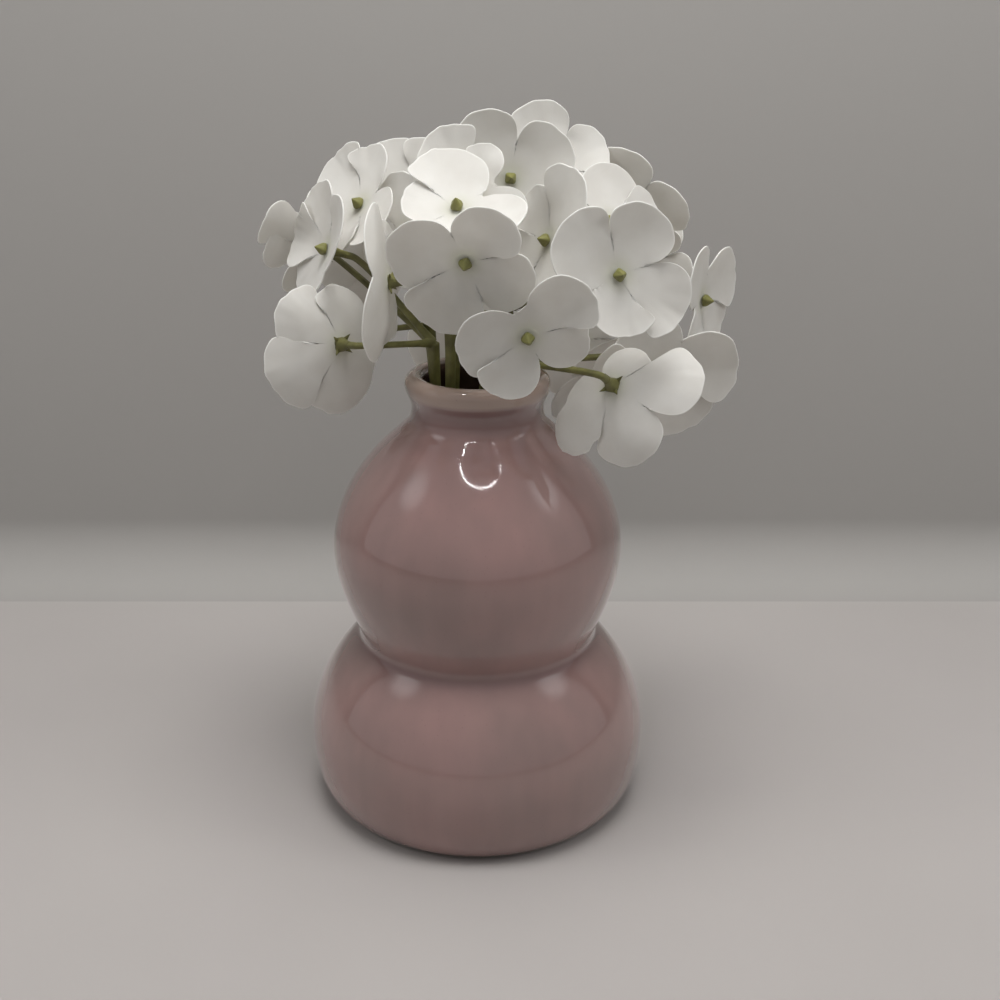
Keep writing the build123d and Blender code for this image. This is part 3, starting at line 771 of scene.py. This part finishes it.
def blossom_shell(look, cup_share, lobes, seed):
    """A blossom in its own axes, as a closed shell, with its cloth map, its cut-edge mask for the bead and the
    painted highlight, and its hub mask for the painted green reflection.

    Points run from the hole in the hub to the cut edge. Forward of the hub's plane they stand by the ball
    that the cup is part of and a dimple round the hub; beyond the clefts each lobe adds its own spoon, the
    curl of its tip, a twist, the overlap of neighbours in turn, and the ruffle of its rim. The cloth's two
    faces lie half its thickness either side."""
    chance = np.random.default_rng(seed)
    number, place, base, fan_out, outline, cleft, reach = lobe_columns(lobes, look, chance)
    steps = LOBE_ROWS[:, None]
    out = look.hole + steps * (outline - look.hole)
    far = smooth_step((out - cleft) / (1.12 * reach - cleft))
    cup = abs(cup_share) * look.reach
    ball = (look.reach**2 + cup**2) / (2 * cup)
    tall = np.sign(cup_share) * (ball - np.sqrt(ball**2 - out**2))
    tall = tall - look.dimple * bell(out, 1.3 * look.hub_radius)
    trough = 0.5 - 0.5 * np.cos(np.pi * place)
    tall = tall + 0.30 * look.spoon * trough * smooth_step(out / look.reach * 1.5 - 0.30)
    lobe = number.astype(int)

    def per_lobe(low, high):
        return chance.uniform(low, high, len(lobes))[lobe]

    deep, tip = per_lobe(0.5, 1.3), per_lobe(-1.0, 1.0)
    twist, crook = per_lobe(-1.0, 1.0), per_lobe(-0.6, 1.0)
    tall = tall + far * look.spoon * deep * (0.6 * place**2 + 0.4 * place**4)
    tall = tall + far**2 * look.curl * (tip * (1 - place**2) + 0.5 * crook)
    tall = tall + far * 0.5 * look.curl * twist * place
    in_turn = look.overlap * np.where(lobe % 2 == 0, 1, -1)
    tall = tall + in_turn * place**2 * smooth_step((out - cleft) / 0.006)
    counts, starts = per_lobe(3, 7), per_lobe(0, 6.28)
    waves = np.sin(place * counts + starts) + 0.4 * np.sin(place * 2.7 * counts)
    tall = tall + look.ruffle * far**2 * waves
    puckered = bell(out - cleft, 0.0022) * place**8
    tall = tall + 0.5 * look.ruffle * puckered * np.sin(out * 3400 + starts)
    middle = polar(out, base + fan_out * far, tall)
    rows, columns = out.shape
    wrapped = np.concatenate((middle[:, -1:], middle, middle[:, :1]), 1)
    normal = np.cross(np.gradient(middle, axis=0), wrapped[:, 2:] - wrapped[:, :-2])
    normal /= np.linalg.norm(normal, axis=-1, keepdims=True) + 1e-12
    hub = 1 - smooth_step((out - 0.55 * look.hub_radius) / (0.6 * look.hub_radius))
    # The cut-edge band: the bead thickens it, and it is painted brighter as a painted highlight
    rim = smooth_step((out - (outline - look.cut_edge)) / (0.8 * look.cut_edge))
    rim = rim * smooth_step((out - cleft) / 0.002)
    half_thick = 0.5 * (look.cloth + (look.hub - look.cloth) * hub + RIM_BEAD * rim)
    half_thick = half_thick * np.where(steps < 1, 1, EDGE_THINNED)
    faces = [middle + side * normal * half_thick[..., None] for side in (1, -1)]
    points = np.concatenate([face.reshape(-1, 3) for face in faces])
    count = rows * columns
    ring = np.arange(columns)
    after = np.roll(ring, -1)
    edge = (rows - 1) * columns
    quads = np.concatenate((
        grid_quads(rows, columns),
        grid_quads(rows, columns, count)[:, ::-1],
        np.stack((edge + ring, edge + after, count + edge + after, count + edge + ring), -1),
        np.stack((after, ring, count + ring, count + after), -1),
    ))
    maps = np.stack((np.broadcast_to(number + (place + 1) / 2, out.shape), out / reach), -1).reshape(-1, 2)
    # Mask for the painted green reflection of the bead round the hub
    green_bounce = bell(out, 1.5 * look.hub_radius)
    masks = {"rim": np.tile(rim.ravel(), 2), "green_bounce": np.tile(green_bounce.ravel(), 2)}
    return points, quads, np.concatenate((maps, maps)), masks


class VASE_OT_blossoms(bpy.types.Operator):
    """Presses each cloth blossom: four lobes on one hub, cut apart by clefts, each cupped its own way."""

    bl_idname = "vase.blossoms"
    bl_label = "Blossoms"

    def execute(self, context):
        look = context.scene.blossom_look
        cloth = petal_material()
        for number, (name, (_, middle, facing, cup_share, lobes)) in enumerate(BLOSSOMS.items()):
            origin, axes = place_axes(middle, facing)
            seed = FIRST_BLOSSOM_SEED + number
            points, quads, maps, masks = blossom_shell(look, cup_share, sorted(lobes), seed)
            mesh = write_mesh(f"petals_{name}", [(origin + points @ axes, quads, NO_TRIANGLES)], maps, masks)
            add_piece(mesh, cloth, "bunch", [f"blossom_{name}"])
        return {"FINISHED"}


def rounded_path(corners, step):
    """A quadratic B-spline: it leaves and arrives along the end runs and passes the middle of the others."""
    corners = [np.array(corner) for corner in corners]
    pieces = [corners[0][None]]
    t = np.linspace(0, 1, 24)[:, None]
    for before, corner, after in zip(corners, corners[1:], corners[2:]):
        start, end = (before + corner) / 2, (corner + after) / 2
        pieces.append((1 - t) ** 2 * start + 2 * t * (1 - t) * corner + t * t * end)
    pieces.append(corners[-1][None])
    return even_steps(np.concatenate(pieces), step)


def swept_tube(path, radii, sides):
    """A soft-cornered square section carried along a path; its radius follows the radii along the way.

    Each ring's sideways direction is the last ring's, made square to the path again, so that the tube
    turns about its path only by the slow twist that is added to it."""
    ahead = np.gradient(path, axis=0)
    ahead /= np.linalg.norm(ahead, axis=1, keepdims=True)
    aside = np.zeros_like(path)
    guess = np.array((1.0, 0.3, 0.0)) if abs(ahead[0, 0]) < 0.8 else np.array((0.0, 1.0, 0.3))
    for i, direction in enumerate(ahead):
        guess = guess - direction * (guess @ direction)
        guess = guess / np.linalg.norm(guess)
        aside[i] = guess
    above = np.cross(ahead, aside)
    angle, along = full_turn(sides), np.linspace(0, 1, len(path))
    size = np.interp(along, np.linspace(0, 1, len(radii)), radii)[:, None]
    size = size * soft_square(angle, STEM_SQUARENESS) * STEM_FILL
    flat = polar(size, angle + STEM_TWIST * along[:, None], 0)
    return closed_tube(path[:, None] + flat[..., :1] * aside[:, None] + flat[..., 1:2] * above[:, None])


def calyx_shells(look, origin, axes, disc):
    """The trumpet behind a blossom and its four pointed sepals.

    The trumpet's radius grows with a power of the way to the petals and swells at four ribs. A sepal
    star's radius runs straight from tip to cleft and back, and its tips curl away from the petals."""
    angle = full_turn(32)
    along = np.linspace(0, 1, 12)[:, None]
    radius = look.calyx_tip + (look.calyx_radius - look.calyx_tip) * along**1.8
    radius = radius * (1 + 0.07 * along * np.cos(4 * angle - np.pi))
    trumpet = polar(radius, angle, -(disc / 2 + look.calyx_length * (1 - along)))
    angle = full_turn(64)
    off = from_quarter(angle)
    tip, waist = look.sepal_reach, look.sepal_waist
    star = tip * waist * np.sin(np.pi / 4) / (waist * np.sin(np.pi / 4 - off) + tip * np.sin(off))
    share_out = SEPAL_ROWS[:, None]
    rib = 0.00022 * bell(off, 0.16) * share_out
    thick = look.sepal * (1 - 0.55 * share_out**3)
    front = -disc / 2 - SEPAL_CURL * (share_out * star / tip) ** 2
    end = -disc / 2 - SEPAL_CURL * (star / tip) ** 2 - 0.5 * thick[-1]
    turn = angle + np.pi / 4
    top, low = (polar(share_out * star, turn, height) for height in (front, front - thick - rib))
    sepals = np.concatenate((top, polar(star, turn, end)[None], low[::-1]))
    return [closed_tube(origin + rings @ axes) for rings in (trumpet, sepals)]


def bead_shell(look, origin, axes, disc, turn):
    """A flower's closed middle: a soft square that swells, then draws in to a blunt point; four clefts."""
    angle = full_turn(40)
    along = BEAD_ROWS[:, None]
    swell = 0.46 * look.bead_width * (1 + 0.10 * np.sin(np.pi * np.clip(along * 1.6, 0, 1)))
    swell = swell * (1 - along**1.7 * 0.93)
    cleft = 1 - 0.10 * bell(from_quarter(angle), 0.12) * along
    rings = polar(swell * soft_square(angle, BEAD_SQUARENESS) * cleft, angle + turn + 0.35 * along,
                  disc / 2 + look.bead_length * along)
    return closed_tube(origin + rings @ axes)


def read_all(items, label, width, kind):
    """One value, or so many, of every item of a mesh."""
    held = np.zeros(len(items) * width, kind)
    items.foreach_get(label, held)
    return held


def merged(name, shells):
    """Shells grown together into one moulded skin, by remeshing on a fine grid and smoothing."""
    source = add_object(name, write_mesh(name, shells))
    remesh = source.modifiers.new("Grow together", "REMESH")
    remesh.mode, remesh.voxel_size, remesh.use_smooth_shade = "VOXEL", SKIN_GRID, True
    smooth = source.modifiers.new("Soften", "SMOOTH")
    smooth.factor, smooth.iterations = 0.5, 5
    mesh = bpy.data.meshes.new_from_object(source.evaluated_get(bpy.context.evaluated_depsgraph_get()))
    points = read_all(mesh.vertices, "co", 3, np.float32).reshape(-1, 3).astype(float)
    corners = read_all(mesh.loops, "vertex_index", 1, np.int32)
    if (read_all(mesh.polygons, "loop_total", 1, np.int32) != 4).any():
        raise RuntimeError("the remeshed skin has faces that aren't four-cornered")
    old = source.data
    bpy.data.objects.remove(source)
    for spent in (old, mesh):
        bpy.data.meshes.remove(spent)
    return points, corners.reshape(-1, 4), NO_TRIANGLES


class VASE_OT_sprays(bpy.types.Operator):
    """Moulds each spray: a branch and its stalks grown together at the fork, with a calyx at each end."""

    bl_idname = "vase.sprays"
    bl_label = "Sprays"

    def execute(self, context):
        look, disc = context.scene.stem_look, context.scene.blossom_look.hub
        green = green_material("Stem Plastic", look.green, look.green_dark, 0.38, 0.58)
        bead_green = green_material("Bead Plastic", look.green_yellow, look.green, 0.34, 0.55)
        collar_top = RIM_HEIGHT - look.collar_drop
        for number, (spray, (socket_angle, fork_shares)) in enumerate(SPRAYS.items()):
            fork = from_mouth(fork_shares)
            around = np.radians(socket_angle)
            across = look.across + look.socket_ring * np.cos(around)
            back = look.back + look.socket_ring * np.sin(around)
            heights = (collar_top - look.socket_depth, collar_top + look.branch_rise)
            corners = [*((across, back, height) for height in heights), fork]
            radii = np.array(BRANCH_SHARES) * look.branch_radius
            tubes = [swept_tube(rounded_path(corners, BRANCH_STEP), [*radii, look.fork_radius * 0.96], 20)]
            calyxes, beads = [], []
            rows = [row for row in BLOSSOMS.values() if row[0] == spray]
            for count, (_, middle, facing, _, _) in enumerate(rows):
                origin, axes = place_axes(middle, facing)
                ahead = axes[2]
                calyx_tip = origin - ahead * (disc / 2 + look.calyx_length)
                corners = [fork, calyx_tip - ahead * look.run_out, calyx_tip + ahead * STALK_INTO_CALYX]
                radii = np.array(STALK_SHARES) * look.stalk_radius
                radii = [look.fork_radius * 0.8, *radii, look.calyx_tip]
                tubes.append(swept_tube(rounded_path(corners, STALK_STEP), radii, 16))
                calyxes += calyx_shells(look, origin, axes, disc)
                beads.append(bead_shell(look, origin, axes, disc, 0.5 * count + number))
            mesh = write_mesh(f"stalks_{spray}", [merged(f"spray_skin_{spray}", tubes), *calyxes])
            add_piece(mesh, green, "bunch", [f"spray_{spray}"])
            mesh = write_mesh(f"middles_{spray}", beads)
            add_piece(mesh, bead_green, "bunch", [f"beads_{spray}"])
        return {"FINISHED"}


class VASE_OT_finishes(bpy.types.Operator):
    """Gives the main stem, its collar and its wire their finishes."""

    bl_idname = "vase.finishes"
    bl_label = "Stem Finishes"

    def execute(self, context):
        green = bpy.data.materials["Stem Plastic"]
        for node, material in (("main_stem", green), ("stem_collar", green), ("stem_wire", wire_material())):
            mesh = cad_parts[node].data
            mesh.materials.clear()
            mesh.materials.append(material)
        return {"FINISHED"}


def add_lamp(name, size, energy, place, aim, mirrored):
    """A square soft lamp at a place, turned to a point, fading from its middle to its edge."""
    lamp = bpy.data.lights.new(name, "AREA")
    lamp.shape, lamp.size, lamp.energy = "SQUARE", size, energy
    lamp.use_nodes = True
    tree = lamp.node_tree
    off = tree.nodes.new("ShaderNodeVectorMath")
    off.operation = "DISTANCE"
    join(tree, add_node(tree, "NewGeometry", "Parametric"), off.inputs[0])
    join(tree, (0.5, 0.5, 0), off.inputs[1])
    fade = tree.nodes.new("ShaderNodeMapRange")
    fade.interpolation_type = "SMOOTHSTEP"
    set_inputs(tree, fade, Value=off.outputs["Value"], From_Min=0.12, From_Max=0.5, To_Min=1.8, To_Max=0)
    set_inputs(tree, tree.nodes["Emission"], Strength=fade.outputs["Result"])
    holder = add_object(name, lamp)
    x, y, z = np.array(aim, float) - np.array(place, float)
    holder.location = place
    holder.rotation_euler = Euler((np.arctan2(np.hypot(x, y), -z), 0, np.arctan2(-x, y)))
    holder.visible_glossy = mirrored


def add_ring(look):
    """A ring of small round lamps above, which the glaze mirrors."""
    for number, angle in enumerate(full_turn(look.ring_lamps)):
        bulb = bpy.data.lights.new(f"Ring Lamp {number + 1}", "POINT")
        bulb.energy, bulb.shadow_soft_size = look.ring_power / look.ring_lamps, BULB_RADIUS
        spot = polar(look.ring_radius, angle, 0) + (look.ring_across, look.ring_back, look.ring_height)
        add_object(bulb.name, bulb).location = spot


def add_sheet(name, points, faces, material):
    """A plain sheet of the stage, from its corners and faces."""
    mesh = bpy.data.meshes.new(name)
    mesh.from_pydata(np.array(points, float).tolist(), [], faces)
    mesh.polygons.foreach_set("use_smooth", np.full(len(faces), len(faces) > 1))
    mesh.materials.append(material)
    return add_object(name, mesh)


def add_floor(look):
    """The pale floor, a level square."""
    material, tree, shader, spots = new_material("Plain Floor")
    shade = noise_colour(tree, spots, 9, 2, look.floor, np.array(look.floor) * 0.965)
    set_inputs(tree, shader, Base_Color=shade, Roughness=0.7)
    corners = np.array([(-1, -1, 0), (1, -1, 0), (1, 1, 0), (-1, 1, 0)]) * FLOOR_REACH
    return add_sheet("plain_floor", corners, [(0, 1, 2, 3)], material)


def add_backdrop(look):
    """The pale backdrop: a quarter bend out of the floor, then straight up, see-through from behind."""
    material, tree, shader, _ = new_material("Plain Backdrop")
    set_inputs(tree, shader, Base_Color=look.backdrop, Roughness=0.9)
    mix_shaders(tree, add_node(tree, "NewGeometry", "Backfacing"), shader.outputs["BSDF"],
                add_node(tree, "BsdfTransparent", "BSDF"))
    bend = np.linspace(0, np.pi / 2, 17)
    side = look.cove * np.stack((np.sin(bend) - 1, 1 - np.cos(bend)), -1) + (look.wall_back, 0)
    side = np.concatenate((side, [(look.wall_back, BACKDROP_HEIGHT)])) + (0, BACKDROP_LIFT)
    count = len(side)
    left = np.column_stack((np.full(count, -BACKDROP_REACH), side))
    faces = [(count + i, count + i + 1, i + 1, i) for i in range(count - 1)]
    return add_sheet("plain_backdrop", np.concatenate((left, left * (-1, 1, 1))), faces, material)


class VASE_OT_stage(bpy.types.Operator):
    """Sets the plain floor and backdrop, the soft light and the camera."""

    bl_idname = "vase.stage"
    bl_label = "Stage"

    def execute(self, context):
        look, scene = context.scene.stage_look, context.scene
        floor, wall = add_floor(look), add_backdrop(look)
        world = scene.world = bpy.data.worlds.new("Soft Room")
        world.use_nodes = True
        background = world.node_tree.nodes["Background"]
        set_inputs(world.node_tree, background, Color=ROOM_COLOUR, Strength=look.room_light)
        for name, lamp in LAMPS.items():
            add_lamp(name, *lamp)
        add_ring(look)
        lens = bpy.data.cameras.new("Front Camera")
        lens.lens, lens.shift_x, lens.sensor_width, lens.clip_start = look.lens, look.shift, 36, 0.01
        camera = add_object("Front Camera", lens)
        camera.location = (0, -look.eye_back, look.eye_up)
        camera.rotation_euler = Euler((np.pi / 2 - look.tilt, 0, 0))
        scene.camera = camera
        scene.view_settings.view_transform = "Standard"
        return {"FINISHED"}


class VASE_PT_panel(bpy.types.Panel):
    """Lists the pieces of the vase in the sidebar."""

    bl_idname = "VASE_PT_panel"
    bl_label = "Gourd Vase"
    bl_space_type = "VIEW_3D"
    bl_region_type = "UI"
    bl_category = "Gourd Vase"

    def draw(self, context):
        for operator in OPERATORS:
            self.layout.operator(operator.bl_idname)
        for label in LOOKS:
            group = getattr(context.scene, label)
            box = self.layout.box()
            for field in group.__annotations__:
                box.prop(group, field)


LOOKS = {"vase_look": VaseLook, "blossom_look": BlossomLook, "stem_look": StemLook, "stage_look": StageLook}
OPERATORS = (VASE_OT_shell, VASE_OT_blossoms, VASE_OT_sprays, VASE_OT_finishes, VASE_OT_stage)


def register():
    for group in (*LOOKS.values(), *OPERATORS, VASE_PT_panel):
        bpy.utils.register_class(group)
    for label, group in LOOKS.items():
        setattr(bpy.types.Scene, label, PointerProperty(type=group))


def unregister():
    for label in LOOKS:
        delattr(bpy.types.Scene, label)
    for group in (VASE_PT_panel, *OPERATORS[::-1], *list(LOOKS.values())[::-1]):
        bpy.utils.unregister_class(group)


def main():
    register()
    bpy.ops.vase.shell()
    bpy.ops.vase.blossoms()
    bpy.ops.vase.sprays()
    bpy.ops.vase.finishes()
    bpy.ops.vase.stage()


if __name__ == "__main__":
    main()
